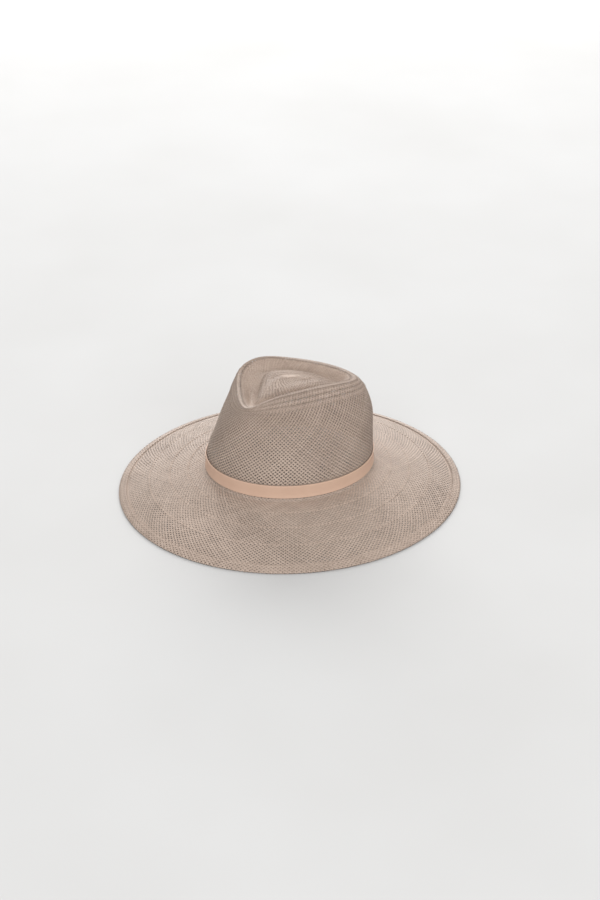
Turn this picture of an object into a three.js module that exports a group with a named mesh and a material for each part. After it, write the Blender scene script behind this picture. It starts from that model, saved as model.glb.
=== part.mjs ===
// A wide-brimmed straw hat with a teardrop crown and a plain leather band.
// Millimetres, +Z up. The front of the hat faces -Y and the wearer's left is +X.
// The straw is woven in one piece from the middle of the crown to the brim's edge,
// where it is folded over on top as a hem. The band is a closed ring of leather
// that sits on the foot of the crown.
import * as THREE from "three";

// Driving sizes
const straw = { wall: 1.6, color: "#b3a091", roughness: 0.85 };
const hem = { width: 10.5, layer: 1.2, step: 0.6 };
const foot = { drop: 1.45, outer: 0.5, width: 1.2, shoulder: 3 };
const band = { low: 33.2, high: 50.4, thickness: 1.3, gap: 0.3, color: "#c4a38d", roughness: 0.5 };
const around = 72;

// The rings that the straw passes through, from the brim's edge to the middle of the crown.
// back, front and half are how far a ring reaches to the back, to the front and to each side.
// taper narrows its front end, corner pushes its two back corners out, aside moves it to the
// left, lean slides its right side back and its left side forward, and turn is in degrees.
// high is its height above the brim's edge at the back, at the sides and at the front, and
// what its back corners add. rows is how many mesh rows lie between it and the next ring.
const rings = [
  { ring: "edge", back: 211, front: 211, half: 191, high: [0, 0, 0, 0], rows: 3 },
  { ring: "outer brim", back: 177, front: 177, half: 158, high: [13.4, 13.4, 13.4, 0], rows: 2 },
  { ring: "inner brim", back: 141, front: 141, half: 122.5, high: [23.6, 23.6, 23.6, 0], rows: 2 },
  { ring: "break", back: 109, front: 109, half: 91, high: [30.1, 30.1, 30.1, 0], rows: 2 },
  { ring: "crown foot", back: 103.3, front: 103.3, half: 85.3, high: [31.8, 31.8, 31.8, 0], rows: 1 },
  { ring: "band, low", back: 102.3, front: 102.3, half: 84.3, high: [34.4, 34.4, 34.4, 0], rows: 2 },
  { ring: "band, high", back: 101.5, front: 102.5, half: 83.9, high: [51, 51, 51, 0], rows: 2 },
  { ring: "wall, low", back: 93.5, front: 102.6, half: 76.5, taper: 0.05, high: [75, 77, 76, 0], rows: 2 },
  { ring: "wall", back: 84.5, front: 102, half: 68, taper: 0.13, turn: 1, high: [99, 103, 101, 0], rows: 2 },
  { ring: "shoulder", back: 74.5, front: 95.5, half: 60.5, taper: 0.28, corner: 1, turn: 2,
    high: [119, 129, 125, 0], rows: 2 },
  { ring: "rim, outside", back: 66.5, front: 87, half: 56.5, taper: 0.5, corner: 3, turn: 3,
    high: [131, 148, 139.8, -2.8], rows: 1 },
  { ring: "rim", back: 60, front: 78, half: 52.5, taper: 0.66, corner: 3.5, turn: 4,
    high: [136, 153.5, 146.8, -4.2], rows: 1 },
  { ring: "rim, inside", back: 53.5, front: 70, half: 47.5, taper: 0.66, corner: 3, turn: 5,
    high: [133.5, 150, 147, -4.2], rows: 3 },
  { ring: "gutter", back: 44, front: 59, half: 37, taper: 0.62, corner: 2, aside: -1.5, lean: 0.1,
    turn: 5, high: [125.5, 138.5, 140, 4], rows: 1 },
  { ring: "gutter, inside", back: 40, front: 55, half: 33.5, taper: 0.6, corner: 3, aside: -2.5,
    lean: 0.15, turn: 5, high: [127.5, 140.5, 139.5, 4.5], rows: 2 },
  { ring: "island", back: 33.5, front: 49.5, half: 27.5, taper: 0.56, corner: 3.5, aside: -3,
    lean: 0.2, turn: 5, high: [138.5, 147, 142.5, 0], rows: 2 },
  { ring: "island top", back: 25.5, front: 37, half: 16.5, taper: 0.5, corner: 2.5, aside: 0.5,
    lean: 0.2, turn: 5, high: [146.6, 149.5, 146, 0.3], rows: 2 },
  { ring: "middle", back: 0, front: 1, half: 0, aside: 3, turn: 5, high: [150.8, 150.8, 150.8, 0], rows: 0 },
];

// Where a ring's back corner lies, how wide it is, and which way it pushes, from the hat's back.
const backCorner = { at: 36, wide: 23, toSide: 0.6, toBack: 0.8 };
// How quickly a ring's height changes from its sides towards its back and its front.
const heightPower = { back: 4, front: 2.5 };

const radians = THREE.MathUtils.degToRad;

// The point of one ring at an angle that is 0 at the back of the hat and runs by its left side.
function ringPoint({ back, front, half, taper = 0, corner = 0, aside = 0, lean = 0, turn = 0, high }, angle) {
  const c = Math.cos(angle);
  const s = Math.sin(angle);
  const fromBack = Math.acos(THREE.MathUtils.clamp(c, -1, 1));
  const bump = Math.exp(-(((fromBack - radians(backCorner.at)) / radians(backCorner.wide)) ** 2));
  const narrowed = (half * Math.sqrt(1 - taper * taper) * s) / (1 - taper * c);
  const x = narrowed + corner * bump * backCorner.toSide * Math.sign(s) + aside;
  const pushed = corner * bump * backCorner.toBack;
  const y = (back - front) / 2 + ((back + front) / 2) * c + pushed - lean * x;
  const [zBack, zSide, zFront, zCorner] = high;
  const end = c > 0 ? (zBack - zSide) * c ** heightPower.back : (zFront - zSide) * (-c) ** heightPower.front;
  const a = radians(turn);
  return new THREE.Vector3(
    x * Math.cos(a) + y * Math.sin(a),
    y * Math.cos(a) - x * Math.sin(a),
    zSide + end + zCorner * bump,
  );
}

// A natural cubic spline through values at rising knots.
function spline(knots, values) {
  const last = knots.length - 1;
  const bend = new Array(last + 1).fill(0);
  const share = new Array(last + 1).fill(0);
  for (let i = 1; i < last; i++) {
    const before = knots[i] - knots[i - 1];
    const after = knots[i + 1] - knots[i];
    const turnOfSlope = (values[i + 1] - values[i]) / after - (values[i] - values[i - 1]) / before;
    const pivot = 2 * (before + after) - before * share[i - 1];
    share[i] = after / pivot;
    bend[i] = (6 * turnOfSlope - before * bend[i - 1]) / pivot;
  }
  for (let i = last - 1; i > 0; i--) {
    bend[i] -= share[i] * bend[i + 1];
  }
  return (at) => {
    let i = 0;
    while (i < last - 1 && knots[i + 1] < at) {
      i++;
    }
    const step = knots[i + 1] - knots[i];
    const a = (knots[i + 1] - at) / step;
    const b = 1 - a;
    const cubic = ((a ** 3 - a) * bend[i] + (b ** 3 - b) * bend[i + 1]) * step * step;
    return a * values[i] + b * values[i + 1] + cubic / 6;
  };
}

// Where each ring lies along the profile: the mean distance run from the brim's edge.
// One ring past the middle, on the other side of the crown, keeps the middle smooth.
function ringPlaces() {
  const places = [0];
  for (let i = 1; i < rings.length; i++) {
    let sum = 0;
    for (let k = 0; k < around; k++) {
      const angle = (2 * Math.PI * k) / around;
      sum += ringPoint(rings[i - 1], angle).distanceTo(ringPoint(rings[i], angle));
    }
    places.push(places[i - 1] + sum / around);
  }
  return places;
}

const places = ringPlaces();
const middle = places[places.length - 1];
const pastMiddle = 2 * middle - places[places.length - 2];

// The outer face of the straw along one profile, as a function of the distance from the edge.
function profile(angle) {
  const points = rings.map((ring) => ringPoint(ring, angle));
  points.push(ringPoint(rings[rings.length - 2], angle + Math.PI));
  const knots = [...places, pastMiddle];
  const [x, y, z] = ["x", "y", "z"].map((axis) => spline(knots, points.map((p) => p[axis])));
  return (at) => new THREE.Vector3(x(at), y(at), z(at));
}

const profiles = Array.from({ length: around }, (_, k) => profile((2 * Math.PI * k) / around));

// The direction out of the straw at one column of the profile table.
function outward(column, at) {
  const small = 0.05;
  const along = profiles[column](at + small).sub(profiles[column](at - small));
  const left = profiles[(column + 1) % around](at);
  const right = profiles[(column + around - 1) % around](at);
  return along.cross(left.sub(right)).normalize();
}

// One row of points round the hat, raised off the outer face. A negative raise goes inwards.
function row(at, raise = 0) {
  return profiles.map((profileAt, k) => profileAt(at).addScaledVector(outward(k, at), raise));
}

// A closed skin over rows of points. The first and last rows may be single points.
function skin(rows, closed = false) {
  const positions = rows.flat().flatMap((p) => [p.x, p.y, p.z]);
  const starts = [];
  let count = 0;
  for (const points of rows) {
    starts.push(count);
    count += points.length;
  }
  const index = [];
  const steps = closed ? rows.length : rows.length - 1;
  for (let r = 0; r < steps; r++) {
    const next = (r + 1) % rows.length;
    for (let k = 0; k < around; k++) {
      const after = (k + 1) % around;
      const a = starts[r] + (rows[r].length > 1 ? k : 0);
      const b = starts[r] + (rows[r].length > 1 ? after : 0);
      const c = starts[next] + (rows[next].length > 1 ? after : 0);
      const d = starts[next] + (rows[next].length > 1 ? k : 0);
      if (a !== b) {
        index.push(a, b, c);
      }
      if (c !== d) {
        index.push(a, c, d);
      }
    }
  }
  const geometry = new THREE.BufferGeometry();
  geometry.setAttribute("position", new THREE.Float32BufferAttribute(positions, 3));
  geometry.setIndex(index);
  geometry.computeVertexNormals();
  return geometry;
}

// The distances of the mesh rows from the edge, from the first ring past the hem to the last.
function rowPlaces() {
  const found = [];
  rings.slice(0, -1).forEach((ring, i) => {
    for (let k = 0; k < ring.rows; k++) {
      found.push(places[i] + ((places[i + 1] - places[i]) * k) / ring.rows);
    }
  });
  return found.filter((at) => at > hem.width + hem.step);
}

// A flat row under the brim's edge, on which the hat rests.
function footRow(inset) {
  return profiles.map((profileAt) => {
    const p = profileAt(0);
    const reach = Math.hypot(p.x, p.y);
    const scale = (reach - inset) / reach;
    return new THREE.Vector3(p.x * scale, p.y * scale, -foot.drop);
  });
}

// Crown and brim in one hollow shell, with the folded hem as a second layer on the brim's edge.
function strawShape() {
  const open = rowPlaces();
  const fold = straw.wall + hem.layer;
  const top = profiles[0](middle);
  const outside = open.map((at) => row(at)).reverse();
  const inside = open.map((at) => row(at, -straw.wall));
  return skin([
    [top],
    ...outside,
    row(hem.width + hem.step),
    row(hem.width, hem.layer),
    row(hem.width / 2, hem.layer),
    row(fold / 2, hem.layer),
    row(fold / 8, hem.layer / 2),
    row(0, -straw.wall / 4),
    footRow(foot.outer),
    footRow(foot.outer + foot.width),
    row(foot.shoulder, -straw.wall),
    row(hem.width, -straw.wall),
    ...inside,
    [new THREE.Vector3(top.x, top.y, top.z - straw.wall)],
  ]);
}

// The distance along the profile at which its column at the back reaches a height.
function placeAtHeight(height) {
  let low = places[3];
  let high = places[7];
  while (high - low > 1e-6) {
    const at = (low + high) / 2;
    if (profiles[0](at).z < height) {
      low = at;
    } else {
      high = at;
    }
  }
  return low;
}

// The leather band: a ring of one thickness that stands off the straw by a small gap.
function bandShape() {
  const low = placeAtHeight(band.low);
  const high = placeAtHeight(band.high);
  const levels = [0, 1 / 3, 2 / 3, 1].map((share) => low + (high - low) * share);
  const inner = band.gap;
  const outer = band.gap + band.thickness;
  return skin([
    ...levels.map((at) => row(at, outer)).reverse(),
    ...levels.map((at) => row(at, inner)),
  ], true);
}

function piece(name, geometry, { color, roughness }) {
  const material = new THREE.MeshStandardMaterial({ color, roughness, metalness: 0 });
  const mesh = new THREE.Mesh(geometry, material);
  mesh.name = name;
  return mesh;
}

const hat = new THREE.Group();
hat.add(piece("straw_body", strawShape(), straw));
hat.add(piece("hat_band", bandShape(), band));
hat.position.z = foot.drop;

export default hat;
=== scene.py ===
"""A wide-brimmed straw hat with a teardrop crown and a leather band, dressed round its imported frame.

The straw is real weaving: two families of flat strands cross on the hat's own surface, over and
under in turn, in zones that nearly all hold fewer strands than the next zone further out. Lengths
in the tables are millimetres, in the part's own frame, except on the stage: the front of the hat
faces -Y.
"""
import math

import bpy
import numpy as np
from mathutils import Matrix, Vector


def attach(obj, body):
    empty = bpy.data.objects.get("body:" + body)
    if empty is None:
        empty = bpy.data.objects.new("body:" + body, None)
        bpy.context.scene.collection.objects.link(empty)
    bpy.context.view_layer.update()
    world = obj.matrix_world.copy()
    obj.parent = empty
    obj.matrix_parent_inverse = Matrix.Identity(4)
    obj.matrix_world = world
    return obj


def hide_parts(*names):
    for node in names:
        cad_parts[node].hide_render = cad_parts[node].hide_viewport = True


MM = 0.001

# The hat's outer face, as the part has it.
# back, front and half: how far a ring reaches to the back, to the front and to each side.
# taper narrows its front end, corner pushes its two back corners out, aside moves it to the left,
# lean slides its right side back and its left side forward, and turn is in degrees.
# z_back, z_side, z_front: its height above the brim's edge, and z_corner what its corners add.
RING_COLUMNS = (
    "back", "front", "half", "taper", "corner", "aside", "lean", "turn",
    "z_back", "z_side", "z_front", "z_corner",
)
RINGS = {
    "edge": (211, 211, 191, 0, 0, 0, 0, 0, 0, 0, 0, 0),
    "outer brim": (177, 177, 158, 0, 0, 0, 0, 0, 13.4, 13.4, 13.4, 0),
    "inner brim": (141, 141, 122.5, 0, 0, 0, 0, 0, 23.6, 23.6, 23.6, 0),
    "break": (109, 109, 91, 0, 0, 0, 0, 0, 30.1, 30.1, 30.1, 0),
    "crown foot": (103.3, 103.3, 85.3, 0, 0, 0, 0, 0, 31.8, 31.8, 31.8, 0),
    "band, low": (102.3, 102.3, 84.3, 0, 0, 0, 0, 0, 34.4, 34.4, 34.4, 0),
    "band, high": (101.5, 102.5, 83.9, 0, 0, 0, 0, 0, 51, 51, 51, 0),
    "wall, low": (93.5, 102.6, 76.5, 0.05, 0, 0, 0, 0, 75, 77, 76, 0),
    "wall": (84.5, 102, 68, 0.13, 0, 0, 0, 1, 99, 103, 101, 0),
    "shoulder": (74.5, 95.5, 60.5, 0.28, 1, 0, 0, 2, 119, 129, 125, 0),
    "rim, outside": (66.5, 87, 56.5, 0.5, 3, 0, 0, 3, 131, 148, 139.8, -2.8),
    "rim": (60, 78, 52.5, 0.66, 3.5, 0, 0, 4, 136, 153.5, 146.8, -4.2),
    "rim, inside": (53.5, 70, 47.5, 0.66, 3, 0, 0, 5, 133.5, 150, 147, -4.2),
    "gutter": (44, 59, 37, 0.62, 2, -1.5, 0.1, 5, 125.5, 138.5, 140, 4),
    "gutter, inside": (40, 55, 33.5, 0.6, 3, -2.5, 0.15, 5, 127.5, 140.5, 139.5, 4.5),
    "island": (33.5, 49.5, 27.5, 0.56, 3.5, -3, 0.2, 5, 138.5, 147, 142.5, 0),
    "island top": (25.5, 37, 16.5, 0.5, 2.5, 0.5, 0.2, 5, 146.6, 149.5, 146, 0.3),
    "middle": (0, 1, 0, 0, 0, 3, 0, 5, 150.8, 150.8, 150.8, 0),
}
BACK_CORNER = {"at": 36, "wide": 23, "to_side": 0.6, "to_back": 0.8}
HEIGHT_POWER = {"back": 4, "front": 2.5}
FOOT_DROP = 1.45
RING_ANGLES = 72

WALL = 1.6
# The middle of the hem's upper layer lies sunk below its top and ends short of its width. Its
# fold is inset from the brim's edge, and its lower layer reaches as far in as under says.
HEM = {"width": 10.5, "top": 1.2, "sunk": 0.6, "short": 0.4, "inset": 0.35, "under": 14}
HEM_STEPS = {"under": 60, "fold": 24, "over": 50}
# The band's edges are rounded to a radius of soft in arc steps, and its outer face is bowed. low
# and high are heights, and search is how many rows of the surface are compared with them.
BAND = {"low": 33.2, "high": 50.4, "thickness": 1.3, "gap": 0.3, "soft": 0.45, "arc": 4, "search": 600}
BOW = {"height": 0.12, "shares": (0.08, 0.92), "points": 9}

# The weave. A zone runs between two distances from the brim's edge with one number of strands in
# each family. row is the distance from one row of crossings to the next, fill the share of the
# space between strands that their width takes, wave how far a strand swings up and down, loose
# how many rows lie between two rings of larger holes, or 0 where there are none, and shade how
# much painted shade darkens a strand's sides beside a hole.
ZONE_COLUMNS = ("piece", "start", "end", "count", "row", "fill", "wave", "loose", "shade")
ZONES = (
    ("straw_brim_outer", 11, 40, 216, 2.0, 0.67, 0.28, 0, 2.0),
    ("straw_brim_middle", 40, 66, 194, 2.0, 0.70, 0.26, 0, 1.8),
    ("straw_brim_middle", 66, 90, 168, 2.0, 0.72, 0.26, 0, 1.8),
    ("straw_brim_inner", 90, 117, 138, 2.0, 0.72, 0.26, 0, 1.8),
    ("straw_wall", 117, 219, 110, 2.2, 0.72, 0.36, 0, 4.6),
    ("straw_crown_top", 219, 244, 116, 1.8, 0.80, 0.26, 3, 2.0),
    ("straw_crown_top", 244, 254, 98, 1.8, 0.83, 0.26, 0, 0.9),
    ("straw_crown_top", 254, 266, 80, 1.8, 0.82, 0.24, 0, 0.8),
    ("straw_crown_top", 266, 278, 58, 2.1, 0.71, 0.32, 0, 3.2),
    ("straw_crown_top", 278, 289, 42, 2.1, 0.71, 0.32, 0, 3.2),
    ("straw_crown_top", 289, 300, 28, 2.1, 0.71, 0.32, 0, 3.2),
)
# The hem's weave, in the zones' columns: its shade too is painted shade at strand sides beside holes.
HEM_WEAVE = {"count": 232, "row": 2.0, "fill": 0.75, "wave": 0.28, "loose": 0, "shade": 1.8}
# Strands reach past a zone's ends by overlap, and spare is free room there in the map for baking.
# Their own two ends are raised by tuck, or lowered where it is negative, within TUCK_ROWS rows.
# The hem's weave starts a little way along its path.
ZONE_ENDS = {"overlap": 0.7, "tuck": (-0.35, -0.35), "spare": 1}
HEM_ENDS = {"start": 1.5, "tuck": (-0.25, -0.1)}
TUCK_ROWS = 0.8
STRAND_THICK = 0.5
STRAND_SIDES = 4

# How uneven the strands are: the spread of their places in shares of the distance between them,
# and the spread of their fill from strand to strand and along each one. clouds is what a smooth
# random value adds to the fill, cloud_scale times as fine as the one for tone.
UNEVEN = {"place": 0.025, "strands": 0.03, "along": 0.06, "clouds": 0.02, "cloud_scale": 3}
# Patches of looser weave lie where a smooth random value passes a limit. A share of what is over
# the limit, up to the most, comes off the fill.
SLACK = {"limit": 0.55, "most": 1.2, "share": 0.1}
FILL_LIMITS = (0.5, 0.98)
# A ring of larger holes: how many rows it reaches, and what it takes off the fill and the height.
SUNK = {"rows": 0.7, "fill": 0.32, "depth": 0.6}
# A strand's tone: its spread from strand to strand and over clouds, then painted light where it comes
# up over another and painted shade where it dips under, and painted shade at a ring of larger holes.
TONE_AND_PAINTED_LIGHT = {"strands": 0.22, "clouds": 0.18, "over": 0.9, "sunk": 1.2}
SEED = 7
# The shortest and the longest wave of the patches of looser weave, and of the clouds.
SLACK_WAVES = (9, 32)
CLOUD_WAVES = (25, 120)

# At a strand's four corners: its two sides, which take painted shade, where shading breaks, and the share
# across it.
SIDE_CORNERS = (1, 0, 1, 0)
CREASED_CORNERS = (True, False, True, False)
ACROSS_STRAND = (0.0, 0.5, 1.0, 0.5)
# The grain's map: the length of its unit, and how far along it strands may start.
GRAIN = {"unit": 10, "starts": 50}

# The square weave that closes the middle of the crown. reach is how far it goes from the middle,
# follow how far round the middle the surface is followed, past how far its strands go past its
# edge, and half the share of the pitch from a strand's middle line to its side.
PATCH = {
    "reach": 8.5, "follow": 14, "rows": 60, "lines": 9, "pitch": 2.5, "past": 0.6, "half": 0.46,
    "wave": 0.26, "tone": 0.5, "clouds": 0.3,
}
# Its two families lie side by side in the map for baking, seen from above. Their spots are on the
# shelf of faces hidden below, and both sides of a strand share one. room is how many times the
# oval's longer reach fits across a spot.
SPOT = {"size": 0.05, "left": 0.01, "step": 0.06, "low": 0.94, "room": 2.4}

# The cord of two twisted strands. inwards is how far in it lies from the hem's width, apart and
# thick are shares of its radius, and grain is the length of its map.
# The cord's tone is set low as painted shade, for the shadowed dark line along the hem's inner edge.
CORD = {
    "inwards": 0.2, "raised": 0.1, "radius": 0.32, "apart": 0.5, "thick": 0.62,
    "turns": 420, "samples": 8, "sides": 6, "tone": -0.3, "grain": 125,
}

# The map for baking has a shelf for each kind of face, from a low to a high place: seen from
# outside, seen from inside, and the upper and lower faces that are hidden between strands.
SHELVES = np.array([(0.0, 0.43), (0.44, 0.87), (0.88, 0.93), (0.94, 0.99)])
OUTSIDE, INSIDE, HIDDEN_ABOVE, HIDDEN_BELOW = range(4)
SHELF_MARGIN = 0.02

# Where the straw's colour lies on its ramp: a base, and how much each thing moves it. edge is the
# painted shade along a strand's two long edges, over a share of the strand's width.
STRAW = {"base": 0.27, "tone": 0.13, "fibre": 0.34, "fleck": 0.12, "edge": 0.3, "painted_edge_width": 0.16}
STRAW_COLOURS = (
    (0.0, (0.11, 0.08, 0.062)),
    (0.25, (0.34, 0.26, 0.208)),
    (0.4, (0.46, 0.357, 0.291)),
    (0.65, (0.59, 0.472, 0.394)),
    (1.0, (0.73, 0.598, 0.513)),
)
LEATHER_COLOURS = (
    (0.3, (0.56, 0.376, 0.277)),
    (0.7, (0.605, 0.415, 0.311)),
)
FLOOR_COLOURS = (
    (0.3, (0.575, 0.57, 0.56)),
    (0.7, (0.605, 0.602, 0.595)),
)

# The stage, in metres and degrees. The lens and its sensor are in millimetres, and the shift is
# in pixels of the photograph.
CAMERA = {"azimuth": -98.5, "elevation": 32.31, "distance": 2.2111, "target": (0, 0, 0.03145), "roll": -0.59}
LENS = {"length": 72, "sensor": 36, "shift": (10.26, 12.28), "photo_height": 900}
LAMPS = {
    "key": {"azimuth": 81.5, "elevation": 18, "distance": 5.2, "size": 5.6, "power": 448},
    "fill": {"azimuth": -93, "elevation": 38, "distance": 5.2, "size": 7.6, "power": 246},
}
LAMP_TARGET = (0, 0, 0.08)
SKY = {"colour": (0.985, 0.99, 1.0, 1), "strength": 0.6}
FLOOR = {"reach": 5.2, "sides": 96}


def ring_points(ring, angle):
    """Points of one ring at angles that are 0 at the back of the hat and run by its left side."""
    r = dict(zip(RING_COLUMNS, ring))
    c = np.cos(angle)
    s = np.sin(angle)
    from_back = np.degrees(np.arccos(np.clip(c, -1, 1)))
    bump = np.exp(-(((from_back - BACK_CORNER["at"]) / BACK_CORNER["wide"]) ** 2))
    narrowed = r["half"] * math.sqrt(1 - r["taper"] ** 2) * s / (1 - r["taper"] * c)
    x = narrowed + r["corner"] * bump * BACK_CORNER["to_side"] * np.sign(s) + r["aside"]
    y = (r["back"] - r["front"]) / 2 + (r["back"] + r["front"]) / 2 * c
    y = y + r["corner"] * bump * BACK_CORNER["to_back"] - r["lean"] * x
    to_back = (r["z_back"] - r["z_side"]) * np.abs(c) ** HEIGHT_POWER["back"]
    to_front = (r["z_front"] - r["z_side"]) * np.abs(c) ** HEIGHT_POWER["front"]
    z = r["z_side"] + np.where(c > 0, to_back, to_front) + r["z_corner"] * bump
    a = math.radians(r["turn"])
    turned_x = x * math.cos(a) + y * math.sin(a)
    turned_y = y * math.cos(a) - x * math.sin(a)
    return np.stack([turned_x, turned_y, z + FOOT_DROP], -1)


def natural_spline(knots, values, at):
    """A natural cubic spline through values, whose first axis runs along the knots."""
    gap = np.diff(knots)
    size = len(knots)
    system = np.eye(size)
    bend = np.zeros(values.shape)
    for i in range(1, size - 1):
        system[i, i - 1:i + 2] = gap[i - 1], 2 * (gap[i - 1] + gap[i]), gap[i]
        after = (values[i + 1] - values[i]) / gap[i]
        before = (values[i] - values[i - 1]) / gap[i - 1]
        bend[i] = 6 * (after - before)
    bend = np.linalg.solve(system, bend.reshape(size, -1)).reshape(values.shape)
    i = np.clip(np.searchsorted(knots, at) - 1, 0, size - 2)
    wide = (-1,) + (1,) * (values.ndim - 1)
    step = gap[i].reshape(wide)
    b = ((at - knots[i]) / gap[i]).reshape(wide)
    a = 1 - b
    cubic = ((a ** 3 - a) * bend[i] + (b ** 3 - b) * bend[i + 1]) * step ** 2 / 6
    return a * values[i] + b * values[i + 1] + cubic


def unit(vectors):
    return vectors / np.maximum(np.linalg.norm(vectors, axis=-1, keepdims=True), 1e-9)


class Surface:
    """The outer face of the hat, by the distance from the brim's edge and the share of a turn."""

    columns = 720

    def __init__(self):
        rings = list(RINGS.values())
        coarse = np.linspace(0, 2 * math.pi, RING_ANGLES, endpoint=False)
        points = np.stack([ring_points(r, coarse) for r in rings])
        steps = np.linalg.norm(np.diff(points, axis=0), axis=-1).mean(1)
        places = np.concatenate([[0], np.cumsum(steps)])
        self.places = dict(zip(RINGS, places))
        self.middle = places[-1]
        self.knots = np.append(places, 2 * self.middle - places[-2])
        angle = np.linspace(0, 2 * math.pi, self.columns, endpoint=False)
        # One ring more, the far side of the ring before the middle, runs the top smoothly through it.
        past_middle = ring_points(rings[-2], angle + math.pi)
        self.rings = np.stack([ring_points(r, angle) for r in rings] + [past_middle])

    def rows(self, at):
        """Points and outward directions of whole rows, evenly spaced round each row."""
        small = 0.05
        points = natural_spline(self.knots, self.rings, at)
        ahead = natural_spline(self.knots, self.rings, at + small)
        behind = natural_spline(self.knots, self.rings, at - small)
        round_it = np.roll(points, -1, 1) - np.roll(points, 1, 1)
        out = unit(np.cross(ahead - behind, round_it))
        spaced = [even_round(p, n) for p, n in zip(points, out)]
        return np.stack([p for p, n in spaced]), np.stack([n for p, n in spaced])


def even_round(points, out):
    """Moves the points of one closed row so that they are evenly spaced along it."""
    closed = np.concatenate([points, points[:1]])
    run = np.concatenate([[0], np.cumsum(np.linalg.norm(np.diff(closed, axis=0), axis=1))])
    wanted = np.linspace(0, run[-1], len(points), endpoint=False)
    closed_out = np.concatenate([out, out[:1]])
    moved = np.stack([np.interp(wanted, run, closed[:, k]) for k in range(3)], -1)
    turned = np.stack([np.interp(wanted, run, closed_out[:, k]) for k in range(3)], -1)
    return moved, unit(turned)


class Cloth:
    """A sheet to weave on: rows raised off the hat's outer face, from one end of a path to the other."""

    def __init__(self, surface, at, raised):
        points, out = surface.rows(at)
        self.points = points + out * raised[:, None, None]
        steps = np.linalg.norm(np.diff(self.points, axis=0), axis=-1).mean(1)
        self.run = np.concatenate([[0], np.cumsum(steps)])
        self.length = self.run[-1]
        along = np.gradient(self.points, axis=0)
        round_it = np.roll(self.points, -1, 1) - np.roll(self.points, 1, 1)
        self.out = unit(np.cross(round_it, along))
        closed = np.roll(self.points, -1, 1) - self.points
        self.girth = np.linalg.norm(closed, axis=-1).sum(1)
        self.at = at

    def run_at(self, at):
        """The distance along a path that runs only inwards, for a distance from the brim's edge."""
        return float(np.interp(at, self.at, self.run))

    def place(self, grid, run, turn):
        """What a grid of vectors holds at a distance along the path and a share of a turn."""
        columns = grid.shape[1]
        row = np.interp(run, self.run, np.arange(len(self.run)))
        low = np.clip(row.astype(int), 0, len(self.run) - 2)
        up = (row - low)[..., None]
        column = (turn % 1) * columns
        left = np.floor(column).astype(int)
        right_share = (column - left)[..., None]
        left = left % columns
        right = (left + 1) % columns
        below = grid[low, left] * (1 - right_share) + grid[low, right] * right_share
        above = grid[low + 1, left] * (1 - right_share) + grid[low + 1, right] * right_share
        return below * (1 - up) + above * up


class Mottle:
    """A smooth random value, mostly between -1 and 1, at each point of space."""

    def __init__(self, rng, shortest, longest, waves=20):
        way = unit(rng.normal(size=(waves, 3)))
        self.turn = way * (2 * math.pi / rng.uniform(shortest, longest, waves))[:, None]
        self.start = rng.uniform(0, 2 * math.pi, waves)

    def at(self, points):
        total = np.zeros(points.shape[:-1])
        for turn, start in zip(self.turn, self.start):
            total += np.cos(points @ turn + start)
        return total / math.sqrt(len(self.start))


class Build:
    """Vertices, faces and their values, gathered for one mesh."""

    def __init__(self):
        self.verts = []
        self.faces = []
        self.tones = []
        self.creases = []
        self.strand_maps = []
        self.bake_maps = []
        self.count = 0

    def add(self, verts, faces, tones, strand_map, bake_map, creased=None):
        """Adds a part. Shading breaks along each edge whose two ends are both creased."""
        self.verts.append(verts)
        self.creases.append(np.zeros(len(verts), bool) if creased is None else creased)
        self.faces.append(faces + self.count)
        self.tones.append(tones)
        self.strand_maps.append(strand_map)
        self.bake_maps.append(bake_map)
        self.count += len(verts)

    def mesh(self, name):
        """A mesh of four-sided faces, in metres, smooth but for its creases."""
        verts = np.concatenate(self.verts) * MM
        faces = np.concatenate(self.faces)
        mesh = bpy.data.meshes.new(name)
        mesh.vertices.add(len(verts))
        mesh.vertices.foreach_set("co", verts.astype(np.float32).ravel())
        mesh.loops.add(faces.size)
        mesh.loops.foreach_set("vertex_index", faces.astype(np.int32).ravel())
        mesh.polygons.add(len(faces))
        mesh.polygons.foreach_set("loop_start", np.arange(0, faces.size, 4, dtype=np.int32))
        mesh.polygons.foreach_set("use_smooth", np.ones(len(faces), bool))
        mesh.update(calc_edges=True)
        ends = np.empty(len(mesh.edges) * 2, np.int32)
        mesh.edges.foreach_get("vertices", ends)
        sharp = np.concatenate(self.creases)[ends.reshape(-1, 2)].all(1)
        mesh.attributes.new("sharp_edge", "BOOLEAN", "EDGE").data.foreach_set("value", sharp)
        tone = mesh.attributes.new("tone", "FLOAT", "POINT")
        tone.data.foreach_set("value", np.concatenate(self.tones).astype(np.float32))
        for layer, parts in (("strand", self.strand_maps), ("OFBake", self.bake_maps)):
            uv = mesh.uv_layers.new(name=layer)
            uv.data.foreach_set("uv", np.concatenate(parts).astype(np.float32).ravel())
        return mesh


def strand_faces(strands, samples, sides):
    """Faces of closed strands whose vertices run strand by strand, sample by sample, side by side."""
    strand = np.arange(strands)[:, None, None]
    sample = np.arange(samples - 1)[None, :, None]
    side = np.arange(sides)[None, None, :]
    after = (side + 1) % sides
    first = (strand * samples + sample) * sides
    return np.stack([first + side, first + after, first + sides + after, first + sides + side], -1)


def end_faces(strands, samples, sides):
    """The two four-cornered ends of each strand."""
    first = np.arange(strands) * samples * sides
    last = first + (samples - 1) * sides
    start = first[:, None] + np.arange(sides)[None, ::-1]
    end = last[:, None] + np.arange(sides)[None, :]
    return np.concatenate([start, end])


def strand_corners(middle, side, out, half):
    """The four corners of a flat strand at each point of its middle line."""
    thick = STRAND_THICK / 2
    return [middle - side * half, middle + out * thick, middle + side * half, middle - out * thick]


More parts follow.
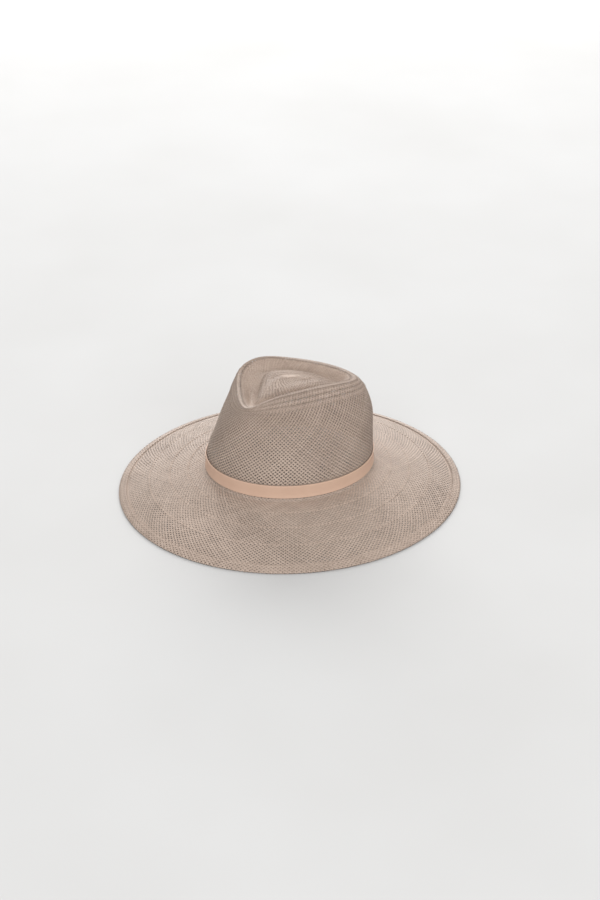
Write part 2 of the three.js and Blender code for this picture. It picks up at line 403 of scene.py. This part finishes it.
def shelf(turn, share, kind, folds):
    """Lays faces out for baking: each kind has its own shelf, which is filled in a few folds."""
    margin = SHELF_MARGIN
    base = turn[..., :1] % 1
    turn = base + (turn - turn[..., :1])
    fold = np.floor(base * folds)
    across = (turn * folds - fold + margin) / (1 + 2 * margin)
    low = SHELVES[kind, 0][..., None]
    high = SHELVES[kind, 1][..., None]
    step = (high - low) / folds
    up = low + step * (fold + margin + np.clip(share, 0, 1) * (1 - 2 * margin))
    return np.stack([across, up], -1)


class Family:
    """The middle lines of one family of strands on a cloth, and the directions along them."""

    def __init__(self, cloth, run, j, count, sign, rng):
        self.count = count
        self.sign = sign
        self.j = j
        strand = np.arange(count)[:, None] + rng.normal(0, UNEVEN["place"], (count, 1))
        self.turn = (strand + sign * j[None, :] / 2) / count
        self.far = np.broadcast_to(run[None, :], self.turn.shape)
        self.centre = cloth.place(cloth.points, self.far, self.turn)
        self.out = unit(cloth.place(cloth.out, self.far, self.turn))
        along = unit(np.gradient(self.centre, axis=1))
        after = cloth.place(cloth.points, self.far, self.turn + 0.5 / count)
        before = cloth.place(cloth.points, self.far, self.turn - 0.5 / count)
        self.beside = after - before
        self.across = unit(np.cross(self.out, along))
        self.pitch = np.abs((self.beside * self.across).sum(-1))
        # 1 where a strand lies over the other family, -1 where it lies under it.
        self.over = sign * np.cos(math.pi * j)


def rings_of_holes(j, loose):
    """1 at the rows that hold a ring of larger holes, falling towards 0 between them."""
    if not loose:
        return np.zeros(len(j))
    from_ring = np.abs((j + loose / 2) % loose - loose / 2)
    return np.exp(-((from_ring / SUNK["rows"]) ** 2))


def half_widths(family, fill, sunk, looks):
    """Half the width of each strand at each of its points."""
    rng, slack, cloudy = looks
    over_limit = np.clip(slack.at(family.centre) - SLACK["limit"], 0, SLACK["most"])
    filled = fill + rng.normal(0, UNEVEN["strands"], (family.count, 1))
    filled = filled + rng.normal(0, UNEVEN["along"], family.turn.shape)
    clouds = UNEVEN["clouds"] * cloudy.at(family.centre * UNEVEN["cloud_scale"])
    filled = filled - SLACK["share"] * over_limit + clouds
    filled = filled - SUNK["fill"] * sunk
    return (family.pitch * np.clip(filled, *FILL_LIMITS) / 2)[..., None]


def heights(family, rows, wave, tuck, sunk):
    """How high strands lie over the cloth, with their two ends tucked under."""
    from_start = np.clip(1 - family.j / TUCK_ROWS, 0, 1)
    from_end = np.clip(1 - (rows - family.j) / TUCK_ROWS, 0, 1)
    height = wave * family.over + tuck[0] * from_start + tuck[1] * from_end - SUNK["depth"] * sunk
    return height[None, :, None]


def strand_tones_with_painted_light(family, verts, shade, sunk, looks):
    """Each vertex's tone: random by strand and by clouds, with painted light and shade from how high a
    strand lies, and painted shade at its sides beside a hole.
    """
    rng, _, cloudy = looks
    by_strand = rng.normal(0, 1, (family.count, 1, 1)) * TONE_AND_PAINTED_LIGHT["strands"]
    tone = by_strand + cloudy.at(verts) * TONE_AND_PAINTED_LIGHT["clouds"]
    # Painted light where a strand comes up over the other family, painted shade where it dips under it and
    # at a ring of larger holes.
    tone = tone + TONE_AND_PAINTED_LIGHT["over"] * family.over[None, :, None] - TONE_AND_PAINTED_LIGHT["sunk"] * sunk[None, :, None]
    # Painted shade: a strand's sides are darker between crossings, beside the holes.
    painted_shade_beside_hole = 1 - np.abs(family.over)
    return tone - shade * painted_shade_beside_hole[None, :, None] * np.array(SIDE_CORNERS)


def grain_map(middle, rng):
    """The share across the strand and the length along it, from a random start, at each vertex."""
    steps = np.diff(middle, axis=1, prepend=middle[:, :1])
    length = np.cumsum(np.linalg.norm(steps, axis=-1), axis=1)
    offset = rng.uniform(0, GRAIN["starts"], (len(middle), 1))
    shape = middle.shape[:2] + (STRAND_SIDES,)
    return np.stack([
        np.broadcast_to(ACROSS_STRAND, shape),
        np.broadcast_to(((length + offset) / GRAIN["unit"])[..., None], shape),
    ], -1).reshape(-1, 2)


def bake_map(family, half, quads, caps, whole, folds, samples):
    """Where each face goes in the map for baking, by where it lies round and along the cloth."""
    low, high = whole
    round_way = unit(family.beside)
    up_way = np.cross(family.out, round_way)
    girth = np.linalg.norm(family.beside, axis=-1) * family.count
    side = family.across * half
    shift = np.stack([-side, side * 0, side, side * 0], 2)
    turn = family.turn[..., None] + (shift * round_way[:, :, None]).sum(-1) / girth[..., None]
    far = family.far[..., None] - (shift * up_way[:, :, None]).sum(-1)
    turn = turn.reshape(-1)
    share = (far.reshape(-1) - low) / (high - low)
    between = family.j[:-1] + 0.5 / samples
    over = (np.cos(math.pi * between) * family.sign > 0)[:, None]
    upper = np.array([True, True, False, False])[None, :]
    above = np.where(over, OUTSIDE, HIDDEN_ABOVE)
    below = np.where(over, HIDDEN_BELOW, INSIDE)
    kind = np.broadcast_to(np.where(upper, above, below)[None], quads.shape[:3])
    laid = shelf(turn[quads], share[quads], kind, folds)
    laid_caps = shelf(turn[caps], share[caps], np.full(len(caps), HIDDEN_ABOVE), folds)
    return np.concatenate([laid.reshape(-1, 2), laid_caps.reshape(-1, 2)])


def fold_count(cloth, whole):
    """How many folds give the map for baking about the same scale both ways."""
    low, high = whole
    tall = SHELVES[OUTSIDE, 1] - SHELVES[OUTSIDE, 0]
    girth = np.interp((low + high) / 2, cloth.run, cloth.girth)
    return max(1, int(round(math.sqrt(tall * girth / (high - low)))))


def weave(build, cloth, start, end, how, looks, tuck, samples=2, whole=None):
    """Adds two families of strands that cross over and under each other, from start to end."""
    rng = looks[0]
    count = how["count"]
    rows = max(2, int(round((end - start) / how["row"])))
    j = np.arange(rows * samples + 1) / samples
    run = start + (end - start) * j / rows
    whole = whole or (start, end)
    folds = fold_count(cloth, whole)
    sunk = rings_of_holes(j, how["loose"])
    quads = strand_faces(count, len(j), STRAND_SIDES)
    caps = end_faces(count, len(j), STRAND_SIDES)
    faces = np.concatenate([quads.reshape(-1, 4), caps])
    creased = np.tile(CREASED_CORNERS, (count, len(j), 1))
    creased[:, (0, -1)] = True
    for sign in (1, -1):
        family = Family(cloth, run, j, count, sign, rng)
        half = half_widths(family, how["fill"], sunk, looks)
        middle = family.centre + family.out * heights(family, rows, how["wave"], tuck, sunk)
        verts = np.stack(strand_corners(middle, family.across, family.out, half), 2)
        tone = strand_tones_with_painted_light(family, verts, how["shade"], sunk, looks)
        baked = bake_map(family, half, quads, caps, whole, folds, samples)
        grain = grain_map(middle, rng)[faces].reshape(-1, 2)
        build.add(verts.reshape(-1, 3), faces, tone.reshape(-1), grain, baked, creased.reshape(-1))


def node_tree(name):
    material = bpy.data.materials.new(name)
    material.use_nodes = True
    nodes = material.node_tree.nodes
    return material, nodes, material.node_tree.links, nodes["Principled BSDF"]


def ramp(nodes, stops):
    node = nodes.new("ShaderNodeValToRGB")
    while len(node.color_ramp.elements) < len(stops):
        node.color_ramp.elements.new(0.5)
    for element, (place, colour) in zip(node.color_ramp.elements, stops):
        element.position = place
        element.color = (*colour, 1)
    return node


def noise(nodes, links, source, scale, detail=3.0, rough=0.5):
    node = nodes.new("ShaderNodeTexNoise")
    node.inputs["Scale"].default_value = scale
    node.inputs["Detail"].default_value = detail
    node.inputs["Roughness"].default_value = rough
    links.new(source, node.inputs["Vector"])
    return node.outputs["Fac"]


def maths(nodes, links, operation, *values):
    """A Math node's result, for sockets and numbers as its inputs."""
    node = nodes.new("ShaderNodeMath")
    node.operation = operation
    for socket, value in zip(node.inputs, values):
        if isinstance(value, float):
            socket.default_value = value
        else:
            links.new(value, socket)
    return node.outputs[0]


def relief(nodes, links, shader, height, strength, distance):
    """Gives a shader fine relief from a height."""
    node = nodes.new("ShaderNodeBump")
    node.inputs["Strength"].default_value = strength
    node.inputs["Distance"].default_value = distance
    links.new(height, node.inputs["Height"])
    links.new(node.outputs["Normal"], shader.inputs["Normal"])


def painted_edge_shade(nodes, links, strand_map):
    """Painted shade: how much darker a strand is near its two long edges."""
    across = nodes.new("ShaderNodeSeparateXYZ")
    links.new(strand_map, across.inputs["Vector"])
    from_edge = maths(nodes, links, "PINGPONG", across.outputs["X"], 0.5)
    edge = nodes.new("ShaderNodeMapRange")
    edge.interpolation_type = "SMOOTHSTEP"
    edge.inputs["From Min"].default_value = 0.0
    edge.inputs["From Max"].default_value = STRAW["painted_edge_width"]
    edge.inputs["To Min"].default_value = STRAW["edge"]
    edge.inputs["To Max"].default_value = 0.0
    links.new(from_edge, edge.inputs["Value"])
    return edge.outputs["Result"]


def straw_material():
    """Flat dyed straw: each strand has its own tone, partly painted light and shade, with fibres along it
    and painted shade near its long edges.
    """
    material, nodes, links, shader = node_tree("straw")
    tone = nodes.new("ShaderNodeAttribute")
    tone.attribute_name = "tone"
    strand = nodes.new("ShaderNodeUVMap")
    strand.uv_map = "strand"
    stretch = nodes.new("ShaderNodeMapping")
    stretch.inputs["Scale"].default_value = (7, 1.2, 1)
    links.new(strand.outputs["UV"], stretch.inputs["Vector"])
    fibre = noise(nodes, links, stretch.outputs["Vector"], scale=2.2, detail=4, rough=0.65)
    place = nodes.new("ShaderNodeTexCoord")
    fleck = noise(nodes, links, place.outputs["Object"], scale=260, detail=3, rough=0.6)
    shade = maths(nodes, links, "MULTIPLY_ADD", tone.outputs["Fac"], STRAW["tone"], STRAW["base"])
    shade = maths(nodes, links, "MULTIPLY_ADD", fibre, STRAW["fibre"], shade)
    shade = maths(nodes, links, "MULTIPLY_ADD", fleck, STRAW["fleck"], shade)
    # Painted shade along each strand's two long edges, between strands and beside holes.
    edge = painted_edge_shade(nodes, links, strand.outputs["UV"])
    shade = maths(nodes, links, "SUBTRACT", shade, edge)
    colours = ramp(nodes, STRAW_COLOURS)
    links.new(shade, colours.inputs["Fac"])
    links.new(colours.outputs["Color"], shader.inputs["Base Color"])
    relief(nodes, links, shader, fibre, strength=0.35, distance=0.00012)
    shader.inputs["Roughness"].default_value = 0.62
    shader.inputs["Specular IOR Level"].default_value = 0.35
    return material


def leather_material():
    """Smooth tan leather with a fine grain and a soft sheen."""
    material, nodes, links, shader = node_tree("leather")
    place = nodes.new("ShaderNodeTexCoord")
    cloud = noise(nodes, links, place.outputs["Object"], scale=28, detail=4, rough=0.55)
    colours = ramp(nodes, LEATHER_COLOURS)
    links.new(cloud, colours.inputs["Fac"])
    links.new(colours.outputs["Color"], shader.inputs["Base Color"])
    pebble = nodes.new("ShaderNodeTexVoronoi")
    pebble.inputs["Scale"].default_value = 1500
    links.new(place.outputs["Object"], pebble.inputs["Vector"])
    crease = noise(nodes, links, place.outputs["Object"], scale=420, detail=4, rough=0.6)
    height = maths(nodes, links, "MULTIPLY_ADD", pebble.outputs["Distance"], 0.5, crease)
    relief(nodes, links, shader, height, strength=0.25, distance=0.0001)
    shader.inputs["Roughness"].default_value = 0.5
    shader.inputs["Specular IOR Level"].default_value = 0.4
    return material


def plain_map(rows, columns):
    """A map that gives each face of a ring its own cell, in rows and columns."""
    row, column = np.divmod(np.arange(rows * columns), columns)
    return np.stack([
        np.stack([column / columns, row / rows], -1),
        np.stack([(column + 1) / columns, row / rows], -1),
        np.stack([(column + 1) / columns, (row + 1) / rows], -1),
        np.stack([column / columns, (row + 1) / rows], -1),
    ], 1).reshape(-1, 2)


def ring_faces(rows, columns):
    """Faces of closed rows of points, which close on each other too."""
    row, column = np.divmod(np.arange(rows * columns), columns)
    after = (column + 1) % columns
    next_row = (row + 1) % rows
    return np.stack([
        row * columns + column,
        row * columns + after,
        next_row * columns + after,
        next_row * columns + column,
    ], -1)


def band_section(low, high):
    """Points round the band's section: places along the crown, and how far each is raised."""
    inner = BAND["gap"]
    outer = BAND["gap"] + BAND["thickness"]
    soft = BAND["soft"]
    section = []
    for at, raised, way in (
        (low + soft, outer - soft, 180),
        (high - soft, outer - soft, 90),
        (high - soft, inner + soft, 0),
        (low + soft, inner + soft, -90),
    ):
        for step in range(BAND["arc"] + 1):
            a = math.radians(way - step * 90 / BAND["arc"])
            section.append((at + soft * math.cos(a), raised + soft * math.sin(a)))
        if way == 180:
            for share in np.linspace(*BOW["shares"], BOW["points"]):
                bow = BOW["height"] * math.sin(math.pi * share)
                section.append((low + soft + (high - low - 2 * soft) * share, outer + bow))
    return np.array(section)


def band_mesh(surface):
    """The leather band, with its four long edges rounded."""
    fine = np.linspace(surface.places["break"], surface.places["wall, low"], BAND["search"])
    points, _ = surface.rows(fine)
    above_edge = points[:, 0, 2] - FOOT_DROP
    low, high = (float(np.interp(BAND[k], above_edge, fine)) for k in ("low", "high"))
    at, raised = band_section(low, high).T
    points, out = surface.rows(at)
    # Every second column is enough for its smooth shape.
    loops = (points + out * raised[:, None, None])[:, ::2]
    rows, columns = loops.shape[:2]
    flat = plain_map(rows, columns)
    build = Build()
    build.add(loops.reshape(-1, 3), ring_faces(rows, columns), np.zeros(rows * columns), flat, flat)
    return build.mesh("band_leather")


def cord_mesh(surface):
    """A cord of two twisted strands that finishes the hem's inner edge."""
    at = HEM["width"] + CORD["inwards"]
    near = 0.5
    cloth = Cloth(surface, np.array([at - near, at, at + near]), np.full(3, CORD["raised"]))
    total = CORD["turns"] * CORD["samples"]
    turn = np.arange(total) / total
    run = np.full(total, cloth.run[1])
    centre = cloth.place(cloth.points, run, turn)
    out = unit(cloth.place(cloth.out, run, turn))
    ahead = unit(np.roll(centre, -1, 0) - np.roll(centre, 1, 0))
    side = unit(np.cross(ahead, out))
    radius = CORD["radius"]
    sides = CORD["sides"]
    # The same faces as a band's, turned so that they look outwards.
    faces = ring_faces(sides, total)[:, (0, 3, 2, 1)]
    flat = plain_map(sides, total)
    # The grain keeps to the middle of a strand, and moves on from face to face along the cord.
    grain = flat[:, ::-1] * (0, CORD["grain"]) + (0.5, 0)
    # Painted shade: the whole cord is darker, for the shadowed line at the hem's inner edge.
    tone = np.full(sides * total, CORD["tone"])
    build = Build()
    for strand in (0, 1):
        twist = 2 * math.pi * (np.arange(total) / CORD["samples"]) + math.pi * strand
        aside = np.cos(twist)[:, None] * out + np.sin(twist)[:, None] * side
        middle = centre + radius * CORD["apart"] * aside
        section = []
        for k in range(sides):
            a = 2 * math.pi * k / sides
            section.append(middle + radius * CORD["thick"] * (math.cos(a) * out + math.sin(a) * side))
        baked = flat * (1, 0.5) + (0, 0.5 * strand)
        build.add(np.stack(section).reshape(-1, 3), faces, tone, grain, baked)
    return build.mesh("straw_hem_cord")


def powers(xy):
    """Products of powers of x and y in centimetres, up to the fourth."""
    x = xy[:, 0] / 10
    y = xy[:, 1] / 10
    return np.stack([x ** a * y ** b for a in range(5) for b in range(5 - a)], -1)


class Cap:
    """The smooth top of the crown round its middle, and the oval that the square weave fills."""

    def __init__(self, surface):
        at = np.linspace(surface.middle - PATCH["follow"], surface.middle, PATCH["rows"])
        points, _ = surface.rows(at)
        self.centre = points[-1].mean(0)
        near = points.reshape(-1, 3) - self.centre
        self.fit = np.linalg.lstsq(powers(near), near[:, 2], rcond=None)[0]
        rim = surface.rows(np.array([surface.middle - PATCH["reach"]]))[0][0] - self.centre
        low = rim.min(0)[:2]
        high = rim.max(0)[:2]
        self.reach = (high - low) / 2
        self.middle = (high + low) / 2

    def height(self, xy):
        return powers(xy) @ self.fit

    def out(self, xy):
        small = 0.5
        z = self.height(xy)
        dzdx = (self.height(xy + (small, 0)) - z) / small
        dzdy = (self.height(xy + (0, small)) - z) / small
        return unit(np.stack([-dzdx, -dzdy, np.ones(len(xy))], -1))

    def steps(self, base, way):
        """Half steps of the pitch along a line, from its base, as far as it crosses the oval."""
        a = ((way / self.reach) ** 2).sum()
        b = 2 * (way * (base - self.middle) / self.reach ** 2).sum()
        c = (((base - self.middle) / self.reach) ** 2).sum() - 1
        root = b * b - 4 * a * c
        if root <= 0:
            return np.zeros(0)
        first = (-b - math.sqrt(root)) / (2 * a) - PATCH["past"]
        last = (-b + math.sqrt(root)) / (2 * a) + PATCH["past"]
        pitch = PATCH["pitch"]
        return np.arange(math.ceil(first / pitch * 2), math.floor(last / pitch * 2) + 1) / 2


def patch_strand(build, cap, base, way, j, sign, family, looks):
    """Adds one strand of the square weave."""
    rng, _, cloudy = looks
    pitch = PATCH["pitch"]
    xy = base[None] + way[None] * (j * pitch)[:, None]
    out = cap.out(xy)
    height = PATCH["wave"] * np.cos(math.pi * j) * sign - WALL / 2
    spine = np.concatenate([xy, cap.height(xy)[:, None]], 1) + cap.centre + out * height[:, None]
    side = unit(np.cross(out, np.gradient(spine, axis=0)))
    verts = np.stack(strand_corners(spine, side, out, pitch * PATCH["half"]), 1).reshape(-1, 3)
    quads = strand_faces(1, len(j), STRAND_SIDES).reshape(-1, 4)
    faces = np.concatenate([quads, end_faces(1, len(j), STRAND_SIDES)])
    tone = rng.normal(0, PATCH["tone"]) + cloudy.at(verts) * PATCH["clouds"]
    along = np.repeat(j * pitch / GRAIN["unit"], STRAND_SIDES)
    grain = np.stack([np.tile(ACROSS_STRAND, len(j)), along], -1)
    spot = (verts[:, :2] - cap.centre[:2] - cap.middle) / (SPOT["room"] * cap.reach.max()) + 0.5
    spot = spot * SPOT["size"] + (SPOT["left"] + SPOT["step"] * family, SPOT["low"])
    creased = np.tile(CREASED_CORNERS, len(j))
    build.add(verts, faces, tone, grain[faces].reshape(-1, 2), spot[faces].reshape(-1, 2), creased)


def top_patch(build, surface, looks):
    """A plain square weave that closes the middle of the crown."""
    cap = Cap(surface)
    for family in (0, 1):
        # Strands run at 45 degrees to the hat's middle line.
        way = np.array([1, 1 if family else -1]) / math.sqrt(2)
        across = np.array([-way[1], way[0]])
        for n in range(-PATCH["lines"], PATCH["lines"] + 1):
            base = cap.middle + across * (n * PATCH["pitch"])
            j = cap.steps(base, way)
            sign = 1 if (n + family) % 2 else -1
            if len(j) > 2:
                patch_strand(build, cap, base, way, j, sign, family, looks)


def hem_path():
    """Distances and raises along the folded hem: under the brim's edge, round it and back on top."""
    low = -WALL / 2
    high = HEM["top"] - HEM["sunk"]
    radius = (high - low) / 2
    centre = (low + high) / 2
    turn_at = radius + HEM["inset"]
    under = np.linspace(HEM["under"], turn_at, HEM_STEPS["under"], endpoint=False)
    angles = np.linspace(-90, 90, HEM_STEPS["fold"], endpoint=False)
    fold = turn_at - radius * np.cos(np.radians(angles))
    fold_raise = centre + radius * np.sin(np.radians(angles))
    over = np.linspace(turn_at, HEM["width"] - HEM["short"], HEM_STEPS["over"])
    at = np.concatenate([under, fold, over])
    raised = np.concatenate([np.full(len(under), low), fold_raise, np.full(len(over), high)])
    return at, raised


def piece_ends():
    """From where to where each woven piece reaches, over all of its zones."""
    ends = {}
    for name, start, end, *_ in ZONES:
        low, high = ends.get(name, (start, end))
        ends[name] = (min(low, start), max(high, end))
    return ends


def straw_pieces(surface):
    """The woven meshes, by name."""
    rng = np.random.default_rng(SEED)
    looks = (rng, Mottle(rng, *SLACK_WAVES), Mottle(rng, *CLOUD_WAVES))
    step = 0.5
    body_at = np.arange(step, surface.middle - 1, step)
    body = Cloth(surface, body_at, np.full(len(body_at), -WALL / 2))
    ends = piece_ends()
    builds = {}
    for zone in (dict(zip(ZONE_COLUMNS, values)) for values in ZONES):
        build = builds.setdefault(zone["piece"], Build())
        low, high = (body.run_at(v) for v in ends[zone["piece"]])
        whole = (low - ZONE_ENDS["spare"], high + ZONE_ENDS["spare"])
        first = body.run_at(zone["start"] - ZONE_ENDS["overlap"])
        last = body.run_at(zone["end"] + ZONE_ENDS["overlap"])
        weave(build, body, first, last, zone, looks, ZONE_ENDS["tuck"], whole=whole)
    top_patch(builds["straw_crown_top"], surface, looks)
    hem = Cloth(surface, *hem_path())
    build = builds.setdefault("straw_hem", Build())
    weave(build, hem, HEM_ENDS["start"], hem.length, HEM_WEAVE, looks, HEM_ENDS["tuck"], samples=3)
    return {name: build.mesh(name) for name, build in builds.items()}


def add_piece(mesh, material, node):
    piece = bpy.data.objects.new(mesh.name, mesh)
    bpy.context.scene.collection.objects.link(piece)
    mesh.materials.append(material)
    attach(piece, "root")
    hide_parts(node)


def dress():
    surface = Surface()
    straw = straw_material()
    for mesh in straw_pieces(surface).values():
        add_piece(mesh, straw, "straw_body")
    add_piece(cord_mesh(surface), straw, "straw_body")
    add_piece(band_mesh(surface), leather_material(), "hat_band")


def aim(azimuth, elevation, distance, target, roll=0.0):
    """Where a camera or lamp stands and how it is turned to look at a target, in metres and degrees."""
    a = math.radians(azimuth)
    e = math.radians(elevation)
    back = Vector((math.sin(a) * math.cos(e), -math.cos(a) * math.cos(e), math.sin(e)))
    turn = back.to_track_quat("Z", "Y").to_matrix().to_4x4()
    rolled = Matrix.Rotation(math.radians(roll), 4, "Z")
    return Matrix.Translation(Vector(target) + back * distance) @ turn @ rolled


def camera():
    data = bpy.data.cameras.new("camera")
    data.lens = LENS["length"]
    data.sensor_width = LENS["sensor"]
    data.sensor_fit = "AUTO"
    data.clip_end = 20
    data.shift_x, data.shift_y = (pixels / LENS["photo_height"] for pixels in LENS["shift"])
    view = bpy.data.objects.new("camera", data)
    view.matrix_world = aim(**CAMERA)
    bpy.context.scene.collection.objects.link(view)
    bpy.context.scene.camera = view


def lamp(name, azimuth, elevation, distance, size, power):
    """A soft round lamp that looks at the middle of the hat."""
    data = bpy.data.lights.new(name, "AREA")
    data.shape = "DISK"
    data.size = size
    data.energy = power
    light = bpy.data.objects.new(name, data)
    light.matrix_world = aim(azimuth, elevation, distance, LAMP_TARGET)
    bpy.context.scene.collection.objects.link(light)


def floor():
    """A pale round floor."""
    reach = FLOOR["reach"]
    sides = FLOOR["sides"]
    rim = [2 * math.pi * k / sides for k in range(sides)]
    mesh = bpy.data.meshes.new("floor")
    mesh.from_pydata([(reach * math.cos(a), reach * math.sin(a), 0) for a in rim], [], [tuple(range(sides))])
    material, nodes, links, shader = node_tree("floor")
    place = nodes.new("ShaderNodeTexCoord")
    cloud = noise(nodes, links, place.outputs["Object"], scale=3, detail=3, rough=0.5)
    colours = ramp(nodes, FLOOR_COLOURS)
    links.new(cloud, colours.inputs["Fac"])
    links.new(colours.outputs["Color"], shader.inputs["Base Color"])
    shader.inputs["Roughness"].default_value = 0.9
    shader.inputs["Specular IOR Level"].default_value = 0.1
    mesh.materials.append(material)
    ground = bpy.data.objects.new("floor", mesh)
    bpy.context.scene.collection.objects.link(ground)


def light():
    """The key lamp stands behind the hat and the fill lamp on the camera's side, in a pale even sky."""
    for name, how in LAMPS.items():
        lamp(name, **how)
    world = bpy.data.worlds.new("world")
    world.use_nodes = True
    background = world.node_tree.nodes["Background"]
    background.inputs["Color"].default_value = SKY["colour"]
    background.inputs["Strength"].default_value = SKY["strength"]
    bpy.context.scene.world = world
    bpy.context.scene.view_settings.view_transform = "Standard"


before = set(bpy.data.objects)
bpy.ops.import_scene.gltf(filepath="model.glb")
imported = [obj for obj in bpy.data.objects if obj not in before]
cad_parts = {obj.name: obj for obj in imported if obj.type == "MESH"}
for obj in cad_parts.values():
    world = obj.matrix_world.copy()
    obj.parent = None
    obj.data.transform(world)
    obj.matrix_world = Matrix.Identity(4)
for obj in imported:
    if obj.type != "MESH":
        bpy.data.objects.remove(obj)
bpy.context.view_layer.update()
camera()
dress()
floor()
light()
